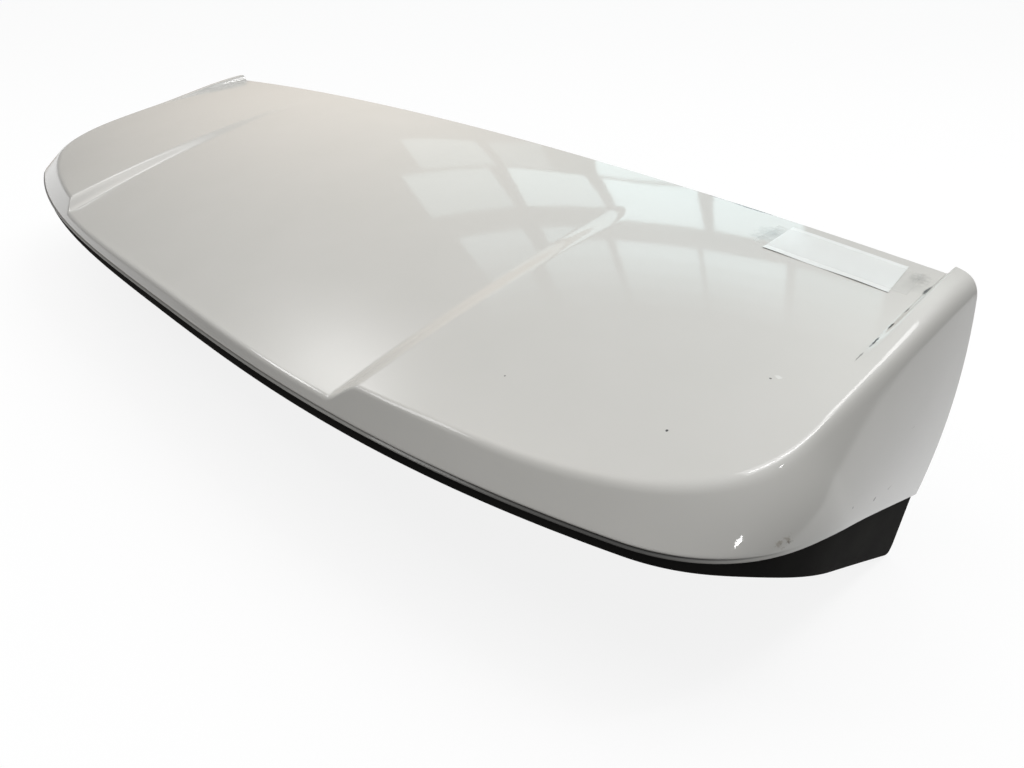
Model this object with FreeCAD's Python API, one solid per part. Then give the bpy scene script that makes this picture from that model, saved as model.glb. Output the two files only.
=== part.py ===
import FreeCAD, Part
import math
import os

# A tailgate spoiler. X runs across the car, +Y forwards to the roof edge, Z up.
# The origin lies midway between the two inner studs, on the face that they clamp to.
# Most places are given as x and as back, the distance behind the front edge.
Vec = FreeCAD.Vector

# Where the studs lie, measured from the front edge
stud_setback = 45.0
seat_drop = 42.0

# Crease between the top and the faces that fall away from it, seen from above
crease_front_half = 555.0
crease_front_back = 8.0
crease_depth = 368.5
crease_draw_in = 8.5
corner_width = 68.5
corner_length = 156.5
crease_bow = 61.0
crease_round_front = 14.0
crease_round_corner = 5.5
crease_round_tail = 3.0
crease_side_half = crease_front_half - crease_draw_in
crease_side_back = crease_depth - corner_length
crease_tail_half = crease_side_half - corner_width

# Top face: a crowned sheet that falls faster and faster towards the tail
seam_inset = 24.0
seam_half_width = crease_front_half - seam_inset
crown_rise = 18.5
front_slope = 0.09
tail_droop = 36.7

# Middle panel, sunk between two steps and fading out towards the front
panel_half_width = 279.0
panel_splay = 12.0
step_width = 22.0
panel_depth = 10.0
panel_start = 40.0
panel_sink_power = 1.25

# Soft sag of the raised shoulders beside the panel, at the tail only
shoulder_sag = 4.0
shoulder_reach = 140.0
shoulder_skew = 1.8

# Raised rim along each side, highest at the front
rim_height = 8.0
rim_length = 150.0
rim_step = 6.0

# Lower edge of the painted shell: how far it stands out past the crease, and its heights
edge_out_front = 23.0
edge_out_side = 30.5
edge_out_tail = 20.0
edge_lead_side = 7.0
edge_run_tail = 14.5
edge_front_back = 82.0
edge_bow_less = 7.0
tail_face_height = 13.2
cheek_lead = 18.0
cheek_fall = 0.384
cheek_softness = 30.0
cheek_bulge = 12.0
edge_front_half = crease_front_half + edge_out_front
edge_side_half = crease_side_half + edge_out_side
edge_side_back = crease_side_back - edge_lead_side
edge_tail_half = crease_tail_half + edge_out_tail
edge_depth = crease_depth + edge_run_tail
edge_bow = crease_bow - edge_bow_less
edge_tail_drop = front_slope * crease_depth + tail_droop + panel_depth - crown_rise + tail_face_height
cheek_start_back = crease_side_back + cheek_lead

shell_wall = 3.0

# Front flange with its inward lip, and the foam strip under it
flange_inset = 9.0
flange_half_width = seam_half_width - flange_inset
flange_setback = 0.6
flange_depth = 16.0
lip_width = 13.0
foam_width = 10.0
foam_thick = 4.0

# Stud towers, studs and their seals
inner_stud_spacing = 300.0
outer_stud_spacing = 800.0
tower_dia = 16.0
tower_pad_dia = 36.0
tower_pad_thick = 4.0
stud_dia = 6.0
stud_length = 24.0
stud_flange_dia = 18.0
stud_flange_thick = 3.0
stud_root_dia = 8.0
stud_root_length = 16.0
fit_clearance = 0.1
seal_clearance = 1.0

# Ribs along the towers, which stop short of the underside of the flange
rib_thick = 2.4
rib_recess = 3.0
rib_tail_gap = 138.5
rib_length = crease_depth - rib_tail_gap

# Locating pegs
peg_spacing = 550.0
peg_base_dia = 12.0
peg_dia = 8.0
peg_length = 14.0
peg_chamfer = 2.0

# Lower cover
cover_wall = 2.6
cover_inset = 2.5
cover_gap = 0.3
strip_drop = 12.0
strip_corner_drop = 8.0
fin_lead = 74.0
fin_start_back = crease_side_back + fin_lead
fin_fall = 0.54
tip_thick = 7.0
tip_fullness = 0.6
flank_width = 72.0
flank_tail_width = 7.0
cover_front_back = 88.0
cover_front_inset = 110.0
cover_tail_rise = 0.5
cover_front_fall = 6.0
cover_front_half = edge_front_half - cover_front_inset
cover_tail_level = edge_tail_drop - cover_tail_rise
cover_front_level = cover_tail_level + cover_front_fall
cover_flange_height = 20.0
cover_flange_setback = 0.5

# Cover screws, their pads and bosses
screw_inner_x = 110.0
screw_outer_x = 330.0
screw_front_inset = 30.0
screw_tail_inset = 55.0
screw_rows = (cover_front_back + screw_front_inset, edge_depth - screw_tail_inset)
screw_dia = 3.8
screw_length = 14.0
screw_head_dia = 8.4
screw_head_thick = 2.4
screw_seat_thick = 2.4
screw_hole_clearance = 0.4
screw_run_out = 4.0
counterbore_dia = 10.4
pad_dia = 16.0
pad_rise = 6.0
boss_dia = 9.0

# How finely the curved sheets are sampled
middle_count = 7
step_count = 9
outer_count = 8
corner_count = 9
side_count = 11
top_count = 12
rim_count = 6
round_count = 5
skirt_count = 6
tip_count = 7
skin_count = 16
rib_count = 9
top_crowding = 1.8
skin_crowding = 2.5
front_inset = 30.0
least_turn = 0.05
halvings = 40


def spaced(first, last, count):
    return [first + (last - first) * i / (count - 1) for i in range(count)]


def closing(count, crowding):
    """Shares from 0 to 1 that crowd together towards 1."""
    return [1.0 - (1.0 - f) ** crowding for f in spaced(0.0, 1.0, count)]


def clamp(value):
    return min(1.0, max(0.0, value))


def smooth(value):
    f = clamp(value)
    return f * f * (3.0 - 2.0 * f)


def mix(a, b, f):
    return a + (b - a) * f


def place(x, back, height):
    """Turn x, distance behind the front edge and height over the seam ends into part coordinates."""
    return Vec(x, stud_setback - back, height + seat_drop)


def panel_edge(back):
    """Half width of the sunk panel, to the middle of its step."""
    return panel_half_width + panel_splay * (1.0 - back / crease_depth)


def top_height(x, back):
    """Height of the outer top face over the seam ends of the front edge."""
    across = abs(x)
    height = crown_rise * (1.0 - (x / seam_half_width) ** 2)
    height -= front_slope * back + tail_droop * (back / crease_depth) ** 2
    sunk = clamp((back - panel_start) / (crease_depth - panel_start)) ** panel_sink_power
    height -= panel_depth * sunk * smooth((panel_edge(back) - across) / step_width + 0.5)
    shoulder = clamp((across - panel_half_width) / (seam_half_width - panel_half_width))
    rear = clamp((back - crease_depth + shoulder_reach) / shoulder_reach)
    height -= shoulder_sag * math.sin(math.pi * shoulder ** shoulder_skew) ** 2 * rear ** 2
    raised = 1.0 - smooth(back / rim_length)
    return height + rim_height * raised * smooth((across - seam_half_width) / rim_step)


def edge_height(back):
    """Height of the shell's lower edge: level at the tail, falling forwards along the cheeks."""
    return -edge_tail_drop - cheek_fall * soft_run(cheek_start_back - back)


def tip_height(x, back):
    """Height of the cover's lowest edge: a thin strip at the tail, a deep fin at the front."""
    strip = mix(strip_drop, strip_corner_drop, clamp(abs(x) / edge_tail_half) ** 2)
    return -edge_tail_drop - strip - fin_fall * soft_run(fin_start_back - back)


def soft_run(distance):
    """The distance where it is positive, with a soft start."""
    return 0.5 * (distance + math.hypot(distance, cheek_softness))


def tail_columns(tail_half):
    """x of the columns along the tail, from the corner to the middle, close together at the step."""
    inner = panel_half_width - step_width
    outer = panel_half_width + step_width
    columns = spaced(tail_half, outer, outer_count)
    columns += spaced(outer, inner, step_count)[1:]
    return columns + spaced(inner, 0.0, middle_count)[1:]


def half_outline(front_half, front_back, side_half, side_back, tail_half, depth, bow):
    """Points (x, back) of half an outline: a straight side, a rounded rear corner and a bowed tail."""
    side = zip(spaced(front_half, side_half, side_count), spaced(front_back, side_back, side_count))
    tail_back = depth - bow
    tail_slope = -3.0 * bow / tail_half
    side_slope = (side_half - front_half) / (side_back - front_back)
    apex_x = (side_half + side_slope * (tail_back - tail_slope * tail_half - side_back))
    apex_x /= 1.0 - side_slope * tail_slope
    apex_back = tail_back + tail_slope * (apex_x - tail_half)
    corner = []
    for f in spaced(0.0, 1.0, corner_count)[1:-1]:
        x = mix(mix(side_half, apex_x, f), mix(apex_x, tail_half, f), f)
        back = mix(mix(side_back, apex_back, f), mix(apex_back, tail_back, f), f)
        corner.append((x, back))
    tail = [(x, depth - bow * (x / tail_half) ** 3) for x in tail_columns(tail_half)]
    return list(side) + corner + tail


def toward(start, end, distance):
    """The point that far from start on the way to end, both given as (x, back)."""
    f = distance / math.hypot(end[0] - start[0], end[1] - start[1])
    return (mix(start[0], end[0], f), mix(start[1], end[1], f))


def on_top(point):
    return place(point[0], point[1], top_height(*point))


def bezier(a, b, c, f):
    return a * (1 - f) ** 2 + b * (2 * f * (1 - f)) + c * f ** 2


def front_columns(outline, last_half):
    """x on a front edge for each point of half an outline: square to the tail, then spreading."""
    knee = panel_half_width + step_width
    lengths = [0.0]
    for a, b in zip(outline, outline[1:]):
        lengths.append(lengths[-1] + math.hypot(b[0] - a[0], b[1] - a[1]))
    knee_at = side_count + corner_count - 2 + outer_count - 1
    knee_front = knee * (1.0 + panel_splay / panel_half_width)
    columns = []
    for n, point in enumerate(outline):
        if n >= knee_at:
            columns.append(point[0] * knee_front / knee)
        else:
            columns.append(mix(last_half, knee_front, lengths[n] / lengths[knee_at]))
    return columns


def shell_sections():
    """Rows of points over the outer face, each from the front edge out over the crease and down."""
    crease = half_outline(crease_front_half, crease_front_back, crease_side_half, crease_side_back,
                          crease_tail_half, crease_depth, crease_bow)
    seam = half_outline(seam_half_width, 0.0, seam_half_width, crease_side_back - seam_inset,
                        crease_tail_half - seam_inset, crease_depth - seam_inset, crease_bow)
    edge = half_outline(edge_front_half, edge_front_back, edge_side_half, edge_side_back,
                        edge_tail_half, edge_depth, edge_bow)
    front = front_columns(crease, flange_half_width - front_inset)
    rows = []
    for n in range(len(crease)):
        rows.append(shell_row((front[n], 0.0), seam[n], crease[n], edge[n], n))
    mirrored = [[Vec(-p.x, p.y, p.z) for p in row] for row in reversed(rows[:-1])]
    return rows + mirrored


def crease_on_face(raised, edge):
    """Slide down the sloping face from the raised crease to where the sunk panel meets it."""
    plain = crown_rise * (1.0 - (raised[0] / seam_half_width) ** 2)
    plain -= front_slope * raised[1] + tail_droop * (raised[1] / crease_depth) ** 2
    low = 0.0
    high = 1.0
    for _ in range(halvings):
        f = 0.5 * (low + high)
        x = mix(raised[0], edge[0], f)
        back = mix(raised[1], edge[1], f)
        if mix(plain, edge_height(edge[1]), f) > top_height(x, back):
            low = f
        else:
            high = f
    return (mix(raised[0], edge[0], low), mix(raised[1], edge[1], low))


def shell_row(front, seam, raised, edge, n):
    """One row: top face, rim, rounded crease, then the face that falls to the lower edge."""
    if n >= side_count:
        raised = crease_on_face(raised, edge)
    sideways = 1.0 - smooth((n - side_count + 1) / corner_count)
    rearward = clamp(raised[1] / crease_side_back)
    shoulder = smooth((abs(raised[0]) - panel_half_width) / (crease_tail_half - panel_half_width))
    setback = mix(crease_round_front, crease_round_corner, rearward)
    setback = mix(crease_round_tail, setback, shoulder)
    begin = toward(raised, seam, setback)
    row = [on_top((mix(front[0], seam[0], f), mix(front[1], seam[1], f)))
           for f in closing(top_count, top_crowding)]
    row += [on_top((mix(seam[0], begin[0], f), mix(seam[1], begin[1], f)))
            for f in spaced(0.0, 1.0, rim_count)[1:]]
    crease = on_top(raised)
    lower = place(edge[0], edge[1], edge_height(edge[1]))
    belly = (crease + lower) * 0.5 + Vec(cheek_bulge * sideways, 0, 0)
    turn = setback / (lower - crease).Length
    row += [bezier(row[-1], crease, bezier(crease, belly, lower, turn), f)
            for f in spaced(0.0, 1.0, round_count)[1:]]
    row += [bezier(crease, belly, lower, f) for f in spaced(turn, 1.0, skirt_count)[1:]]
    return row


def normals(rows):
    """Unit normals of a sheet of points, from its neighbours along both directions."""
    last_row = len(rows) - 1
    last = len(rows[0]) - 1
    result = []
    for i, row in enumerate(rows):
        line = []
        for j in range(len(row)):
            along = rows[min(i + 1, last_row)][j] - rows[max(i - 1, 0)][j]
            across = row[min(j + 1, last)] - row[max(j - 1, 0)]
            normal = along.cross(across)
            if normal.Length < least_turn * along.Length * across.Length:
                normal = result[-1][j] if i else Vec(0, 0, 1)
            line.append(normal.normalize())
        result.append(line)
    return result


def mean_steps(rows):
    """Parameters from 0 to 1 along the rows, by the mean distance between neighbouring columns."""
    steps = [sum((row[j + 1] - row[j]).Length for row in rows) for j in range(len(rows[0]) - 1)]
    total = sum(steps)
    return [sum(steps[:j]) / total for j in range(len(steps))] + [1.0]


def through(points, parameters):
    curve = Part.BSplineCurve()
    curve.interpolate(Points=points, Parameters=parameters)
    return curve


def sheet(rows, along, across):
    """A smooth surface through rows of points, first along each row and then across the rows."""
    lines = [through(row, along) for row in rows]
    columns = zip(*(line.getPoles() for line in lines))
    ribs = [through(list(column), across) for column in columns]
    poles = [list(row) for row in zip(*(rib.getPoles() for rib in ribs))]
    surface = Part.BSplineSurface()
    surface.buildFromPolesMultsKnots(poles, ribs[0].getMultiplicities(), lines[0].getMultiplicities(),
                                     ribs[0].getKnots(), lines[0].getKnots(), False, False, 3, 3)
    return surface


def strip(curve, other):
    """A flat band between two curves that share their knots."""
    surface = Part.BSplineSurface()
    poles = [curve.getPoles(), other.getPoles()]
    surface.buildFromPolesMultsKnots(poles, (2, 2), curve.getMultiplicities(), (0, 1), curve.getKnots(),
                                     False, False, 1, 3)
    return surface


def cut_level(points, height):
    """Points spread again along the same line, which now ends at the given height."""
    line = through(points, mean_steps([points]))
    low = 0.0
    high = 1.0
    for _ in range(halvings):
        f = 0.5 * (low + high)
        if line.value(f).z > height:
            low = f
        else:
            high = f
    return [line.value(low * f) for f in mean_steps([points])]


def behind(rows, wall):
    """The inner face of the shell: a wall behind the outer one, and level with it at the lower edge."""
    inner = [[p - n * wall for p, n in zip(row, line)] for row, line in zip(rows, normals(rows))]
    for row, back_row in zip(rows, inner):
        back_row[-skirt_count:] = cut_level(back_row[-skirt_count:], row[-1].z)
    return inner


def walled(rows, inner):
    """The solid wall between two sheets of points."""
    along = mean_steps(rows)
    across = mean_steps([list(column) for column in zip(*rows)])
    outside = sheet(rows, along, across)
    inside = sheet(inner, along, across)
    borders = [(outside.uIso(end), inside.uIso(end)) for end in (0.0, 1.0)]
    borders += [(outside.vIso(end), inside.vIso(end)) for end in (0.0, 1.0)]
    surfaces = [outside, inside] + [strip(*border) for border in borders]
    faces = [surface.toShape() for surface in surfaces]
    shell = Part.makeShell(faces)
    shell.sewShape()
    solid = Part.makeSolid(shell)
    if solid.Volume < 0:
        solid.reverse()
    return solid


def tip_inward(tip, n):
    """Unit direction, seen from above, square to half an outline and into the part."""
    a = tip[max(n - 1, 0)]
    b = tip[n + 1] if n + 1 < len(tip) else (-tip[n - 1][0], tip[n - 1][1])
    length = math.hypot(b[0] - a[0], b[1] - a[1])
    return ((a[1] - b[1]) / length, (b[0] - a[0]) / length)


def cover_level(back):
    """Height of the flat part of the cover's outer face."""
    f = (edge_depth - back) / (edge_depth - cover_front_back)
    return -mix(cover_tail_level, cover_front_level, f)


def cover_sections(inset):
    """Rows of points over one face of the cover: under the part, round its tip and up its side.

    The outer face has no inset, and the inner face is inset by the wall.
    """
    side = (edge_front_half - cover_inset, edge_side_half - cover_inset)
    tail = (edge_tail_half, edge_depth - cover_inset, edge_bow)
    rim = half_outline(side[0], edge_front_back, side[1], edge_side_back, *tail)
    tip = half_outline(side[0], cover_front_back, side[1], edge_side_back, *tail)
    front = front_columns(tip, cover_front_half)
    rows = []
    for n in range(len(tip)):
        rows.append(cover_row((front[n], cover_front_back), tip[n], tip_inward(tip, n), rim[n], inset))
    mirrored = [[Vec(-p.x, p.y, p.z) for p in row] for row in reversed(rows[:-1])]
    return rows + mirrored


def shifted(point, direction, distance):
    return (point[0] + direction[0] * distance, point[1] + direction[1] * distance)


def cover_row(front, tip, inward, rim, inset):
    """One row: the flat skin, the flank of the fin, the rounded tip and the side wall."""
    depth = cover_level(tip[1]) - tip_height(*tip)
    deepest = cover_level(cover_front_back) - tip_height(edge_front_half, cover_front_back)
    flank = mix(flank_tail_width, flank_width, depth / deepest)
    round_height = tip_height(*tip) + 0.5 * tip_thick
    root = shifted(tip, inward, tip_thick - inset)
    square = (front[0] - root[0]) * inward[0] + (front[1] - root[1]) * inward[1]
    bend = 1.0 - flank / square
    row = []
    for f in closing(skin_count, skin_crowding):
        x = mix(front[0], root[0], f)
        back = mix(front[1], root[1], f)
        share = clamp((f - bend) / (1.0 - bend)) ** 2
        row.append(place(x, back, mix(cover_level(back) + inset, round_height, share)))
    start = row[-1]
    end = place(*shifted(tip, inward, inset), round_height)
    handle = tip_fullness * (tip_thick - 2 * inset)
    lead = (start - row[-2]).normalize() * handle
    rise = Vec(0, 0, handle)
    for f in spaced(0.0, 1.0, tip_count)[1:]:
        leaving = bezier(start, start + lead, end - rise, f)
        row.append(mix(leaving, bezier(start + lead, end - rise, end, f), f))
    top = place(*shifted(rim, inward, inset), edge_height(rim[1]) - cover_gap)
    return row + [mix(end, top, f) for f in spaced(0.0, 1.0, skirt_count)[1:]]


def rod(dia, x, back, bottom, top):
    """An upright cylinder between two heights in part coordinates."""
    foot = Vec(x, stud_setback - back, bottom)
    return Part.makeCylinder(0.5 * dia, top - bottom, foot, Vec(0, 0, 1))


def in_top_wall(x, back):
    """Height of the middle of the top wall, in part coordinates."""
    return top_height(x, back) - 0.5 * shell_wall + seat_drop


def both_sides(*columns):
    return [side * x for x in columns for side in (-1, 1)]


def stud_columns():
    return both_sides(0.5 * inner_stud_spacing, 0.5 * outer_stud_spacing)


def screw_places():
    return [(x, back) for back in screw_rows for x in both_sides(screw_inner_x, screw_outer_x)]


def pad_top(back):
    """Height of the face where a boss meets its pad on the cover, in part coordinates."""
    return cover_level(back) + pad_rise + seat_drop


def crown_band(upper, lower, back, width):
    """A band along the crowned front edge, between two depths under it and that wide fore and aft."""
    def arc(drop):
        columns = (-flange_half_width, 0.0, flange_half_width)
        return Part.Arc(*(place(x, back, top_height(x, 0.0) - drop) for x in columns)).toShape()

    high = arc(upper)
    low = arc(lower)
    ends = [Part.makeLine(high.Vertexes[n].Point, low.Vertexes[n].Point) for n in (0, 1)]
    face = Part.Face(Part.Wire([high, ends[1], low, ends[0]]))
    return face.extrude(Vec(0, -width, 0))


def rib(x):
    """A thin upright rib under the top that runs back from the front flange and tapers out."""
    stations = spaced(flange_setback + 0.5 * shell_wall, rib_length, rib_count)
    upper = [Vec(x - 0.5 * rib_thick, stud_setback - back, in_top_wall(x, back)) for back in stations]
    depths = spaced(flange_depth - rib_recess - 0.5 * shell_wall, shell_wall, rib_count)
    lower = [p - Vec(0, 0, depth) for p, depth in zip(upper, depths)]
    outline = [Part.BSplineCurve(), Part.BSplineCurve()]
    outline[0].interpolate(upper)
    outline[1].interpolate(lower)
    edges = [outline[0].toShape(), Part.makeLine(upper[-1], lower[-1]),
             outline[1].toShape(), Part.makeLine(lower[0], upper[0])]
    return Part.Face(Part.Wire(edges)).extrude(Vec(rib_thick, 0, 0))


def upper_shell():
    outer = shell_sections()
    body = walled(outer, behind(outer, shell_wall))
    added = [crown_band(0.5 * shell_wall, flange_depth, flange_setback, shell_wall)]
    added.append(crown_band(flange_depth - shell_wall, flange_depth, flange_setback, lip_width))
    bores = []
    for x in stud_columns():
        roof = in_top_wall(x, stud_setback)
        pad = stud_flange_thick + tower_pad_thick
        added.append(rod(tower_dia, x, stud_setback, stud_flange_thick, roof))
        added.append(rod(tower_pad_dia, x, stud_setback, stud_flange_thick, pad))
        added.append(rib(x))
        bore_top = stud_flange_thick + stud_root_length + fit_clearance
        bores.append(rod(stud_root_dia + 2 * fit_clearance, x, stud_setback, stud_flange_thick, bore_top))
    for x in both_sides(0.5 * peg_spacing):
        added.append(rod(peg_base_dia, x, stud_setback, 0.0, in_top_wall(x, stud_setback)))
        pin = rod(peg_dia, x, stud_setback, -peg_length, 0.0)
        added.append(pin.makeChamfer(peg_chamfer, [e for e in pin.Edges if e.BoundBox.ZMax < -peg_chamfer]))
    for x, back in screw_places():
        added.append(rod(boss_dia, x, back, pad_top(back), in_top_wall(x, back)))
        bore_top = pad_top(back) - screw_seat_thick + screw_length + screw_run_out
        bores.append(rod(screw_dia + 2 * fit_clearance, x, back, pad_top(back), bore_top))
    return body.multiFuse(added).cut(Part.makeCompound(bores))


def lower_cover():
    body = walled(cover_sections(0.0), cover_sections(cover_wall))
    level = cover_level(cover_front_back) + seat_drop
    front = stud_setback - cover_front_back - cover_flange_setback - cover_wall
    corner = Vec(-cover_front_half, front, level + 0.5 * cover_wall)
    added = [Part.makeBox(2 * cover_front_half, cover_wall, cover_flange_height, corner)]
    cuts = []
    for x, back in screw_places():
        top = pad_top(back)
        seat = top - screw_seat_thick
        added.append(rod(pad_dia, x, back, top - pad_rise + 0.5 * cover_wall, top))
        cuts.append(rod(counterbore_dia, x, back, seat - pad_dia, seat))
        cuts.append(rod(screw_dia + screw_hole_clearance, x, back, seat, top))
    return body.multiFuse(added).cut(Part.makeCompound(cuts))


def mounting_studs():
    studs = []
    for x in stud_columns():
        flange = rod(stud_flange_dia, x, stud_setback, 0.0, stud_flange_thick)
        root = rod(stud_root_dia, x, stud_setback, stud_flange_thick, stud_flange_thick + stud_root_length)
        shank = rod(stud_dia, x, stud_setback, -stud_length, 0.0)
        studs.append(flange.multiFuse([root, shank]))
    return Part.makeCompound(studs)


def stud_seals():
    rings = []
    hole = stud_flange_dia + 2 * seal_clearance
    for x in stud_columns():
        disc = rod(tower_pad_dia, x, stud_setback, 0.0, stud_flange_thick)
        rings.append(disc.cut(rod(hole, x, stud_setback, 0.0, stud_flange_thick)))
    return Part.makeCompound(rings)


def cover_screws():
    screws = []
    for x, back in screw_places():
        seat = pad_top(back) - screw_seat_thick
        head = rod(screw_head_dia, x, back, seat - screw_head_thick, seat)
        screws.append(head.fuse(rod(screw_dia, x, back, seat, seat + screw_length)))
    return Part.makeCompound(screws)


def front_foam_strip():
    start = flange_setback + 0.5 * (lip_width - foam_width)
    return crown_band(flange_depth, flange_depth + foam_thick, start, foam_width)


nodes = {
    "upper_shell": upper_shell,
    "lower_cover": lower_cover,
    "mounting_studs": mounting_studs,
    "stud_seals": stud_seals,
    "cover_screws": cover_screws,
    "front_foam_strip": front_foam_strip,
}

os.makedirs("parts", exist_ok=True)
for name, make in nodes.items():
    shape = make()
    shape.exportStep("parts/" + name + ".step")
    print(name, shape.isValid(), len(shape.Solids), round(shape.Volume), shape.BoundBox)
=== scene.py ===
import bmesh
import bpy
import math
import numpy as np
from mathutils import Matrix, Vector


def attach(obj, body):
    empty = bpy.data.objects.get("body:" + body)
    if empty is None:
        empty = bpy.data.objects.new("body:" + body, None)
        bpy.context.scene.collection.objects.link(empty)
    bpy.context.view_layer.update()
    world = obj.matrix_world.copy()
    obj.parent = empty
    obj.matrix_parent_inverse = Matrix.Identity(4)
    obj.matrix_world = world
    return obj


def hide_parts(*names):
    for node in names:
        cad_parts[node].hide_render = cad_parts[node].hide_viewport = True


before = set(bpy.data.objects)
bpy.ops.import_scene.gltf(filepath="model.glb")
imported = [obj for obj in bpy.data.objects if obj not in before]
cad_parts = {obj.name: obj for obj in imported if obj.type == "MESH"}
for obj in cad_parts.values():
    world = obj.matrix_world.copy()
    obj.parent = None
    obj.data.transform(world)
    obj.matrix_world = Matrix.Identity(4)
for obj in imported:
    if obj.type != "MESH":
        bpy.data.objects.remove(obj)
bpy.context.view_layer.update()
scene = bpy.context.scene

# Shape of the spoiler in millimetres. "back" is the distance behind the front edge.
shape = {
    "studSetback": 45.0, "seatDrop": 42.0,
    "creaseFrontHalf": 555.0, "creaseFrontBack": 8.0, "creaseSideHalf": 546.5, "creaseSideBack": 212.0,
    "creaseTailHalf": 478.0, "creaseDepth": 368.5, "creaseBow": 61.0,
    "roundFront": 14.0, "roundCorner": 5.5, "roundTail": 3.0,
    "seamInset": 24.0, "seamHalf": 531.0, "crownRise": 18.5, "frontSlope": 0.09, "tailDroop": 36.7,
    "panelHalf": 279.0, "panelSplay": 12.0, "stepWidth": 22.0, "panelDepth": 10.0, "panelStart": 40.0,
    "shoulderSag": 4.0, "shoulderReach": 140.0,
    "rimHeight": 8.0, "rimLength": 150.0, "rimStep": 6.0,
    "edgeFrontHalf": 578.0, "edgeFrontBack": 82.0, "edgeSideHalf": 577.0, "edgeSideBack": 205.0,
    "edgeTailHalf": 498.0, "edgeDepth": 383.0, "edgeBow": 54.0, "edgeTailDrop": 74.565,
    "cheekStart": 230.0, "cheekFall": 0.384, "softness": 30.0, "cheekBulge": 12.0,
}

# How many columns each stretch of the outline gets, from the front of a cheek to the middle of the tail
columns = {"side": 46, "corner": 40, "outer": 30, "step": 34, "middle": 26}


def smoothStep(value):
    f = np.clip(value, 0.0, 1.0)
    return f * f * (3.0 - 2.0 * f)


def mixed(a, b, f):
    return a + (b - a) * f


def closing(count, power):  # shares from 0 to 1 that crowd together towards 1
    return 1.0 - (1.0 - np.linspace(0.0, 1.0, count)) ** power


def softRun(distance):  # the distance where it is positive, with a soft start
    return 0.5 * (distance + np.hypot(distance, shape["softness"]))


def placed(x, back, height):
    return np.stack(np.broadcast_arrays(x, shape["studSetback"] - back, height + shape["seatDrop"]), axis=-1)


# Top height: a parabola across, a slope and a parabola fore and aft, less the sunk panel between two
# smooth steps, less a soft sag of the shoulders at the tail, plus the rim beside the seam.
def topHeight(x, back):
    across = np.abs(x)
    height = shape["crownRise"] * (1.0 - (x / shape["seamHalf"]) ** 2)
    height = height - shape["frontSlope"] * back - shape["tailDroop"] * (back / shape["creaseDepth"]) ** 2
    sunk = np.clip((back - shape["panelStart"]) / (shape["creaseDepth"] - shape["panelStart"]), 0, 1) ** 1.25
    stepAt = shape["panelHalf"] + shape["panelSplay"] * (1.0 - back / shape["creaseDepth"])
    height = height - shape["panelDepth"] * sunk * smoothStep((stepAt - across) / shape["stepWidth"] + 0.5)
    shoulder = np.clip((across - shape["panelHalf"]) / (shape["seamHalf"] - shape["panelHalf"]), 0, 1)
    rear = np.clip((back - shape["creaseDepth"] + shape["shoulderReach"]) / shape["shoulderReach"], 0, 1)
    height = height - shape["shoulderSag"] * np.sin(np.pi * shoulder ** 1.8) ** 2 * rear ** 2
    raised = shape["rimHeight"] * (1.0 - smoothStep(back / shape["rimLength"]))
    return height + raised * smoothStep((across - shape["seamHalf"]) / shape["rimStep"])


def edgeHeight(back):  # level along the tail, falling forwards along the cheeks
    return -shape["edgeTailDrop"] - shape["cheekFall"] * softRun(shape["cheekStart"] - back)


# Half an outline seen from above, as (x, back): a straight side, a parabola round the corner whose
# control point is where the side meets the tail's tangent, and a tail bowed with the cube of x.
def halfOutline(frontHalf, frontBack, sideHalf, sideBack, tailHalf, depth, bow):
    f = np.linspace(0.0, 1.0, columns["side"])
    side = np.stack([mixed(frontHalf, sideHalf, f), mixed(frontBack, sideBack, f)], axis=-1)
    tailBack, tailSlope = depth - bow, -3.0 * bow / tailHalf
    sideSlope = (sideHalf - frontHalf) / (sideBack - frontBack)
    apexX = sideHalf + sideSlope * (tailBack - tailSlope * tailHalf - sideBack)
    apexX = apexX / (1.0 - sideSlope * tailSlope)
    apex = np.array([apexX, tailBack + tailSlope * (apexX - tailHalf)])
    f = np.linspace(0.0, 1.0, columns["corner"])[1:-1, None]
    corner = curved(np.array([sideHalf, sideBack]), apex, np.array([tailHalf, tailBack]), f)
    inner, outer = shape["panelHalf"] - shape["stepWidth"], shape["panelHalf"] + shape["stepWidth"]
    x = np.concatenate([np.linspace(tailHalf, outer, columns["outer"]),
                        np.linspace(outer, inner, columns["step"])[1:],
                        np.linspace(inner, 0.0, columns["middle"])[1:]])
    tail = np.stack([x, depth - bow * (x / tailHalf) ** 3], axis=-1)
    return np.concatenate([side, corner, tail])


def curved(a, b, c, f):  # parabola from a to c that leaves and arrives along the lines to b
    return a * (1.0 - f) ** 2 + b * (2.0 * f * (1.0 - f)) + c * f ** 2


def frontColumns(outline, lastHalf):  # where each section starts on a front edge
    knee = shape["panelHalf"] + shape["stepWidth"]
    kneeAt = columns["side"] + columns["corner"] - 2 + columns["outer"] - 1
    lengths = np.concatenate([[0.0], np.cumsum(np.hypot(*np.diff(outline, axis=0).T))])
    kneeFront = knee * (1.0 + shape["panelSplay"] / shape["panelHalf"])
    spread = mixed(lastHalf, kneeFront, lengths / lengths[kneeAt])
    return np.where(np.arange(len(outline)) >= kneeAt, outline[:, 0] * kneeFront / knee, spread)


def bothHalves(rows):  # the right half's sections, then their mirror images back to the left front
    mirrored = rows[-2::-1] * np.array([-1.0, 1.0, 1.0])
    return np.concatenate([rows, mirrored])


# Cross product of the two directions of a grid, upright where neighbouring sections run along each other,
# as they do at the front corners
def sheetNormals(grid):
    along, across = np.gradient(grid, axis=0), np.gradient(grid, axis=1)
    normal = np.cross(along, across)
    size = np.linalg.norm(normal, axis=-1, keepdims=True)
    square = np.linalg.norm(along, axis=-1, keepdims=True) * np.linalg.norm(across, axis=-1, keepdims=True)
    return np.where(size > 0.05 * square, normal / np.maximum(size, 1e-9), np.array([0.0, 0.0, 1.0]))


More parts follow.
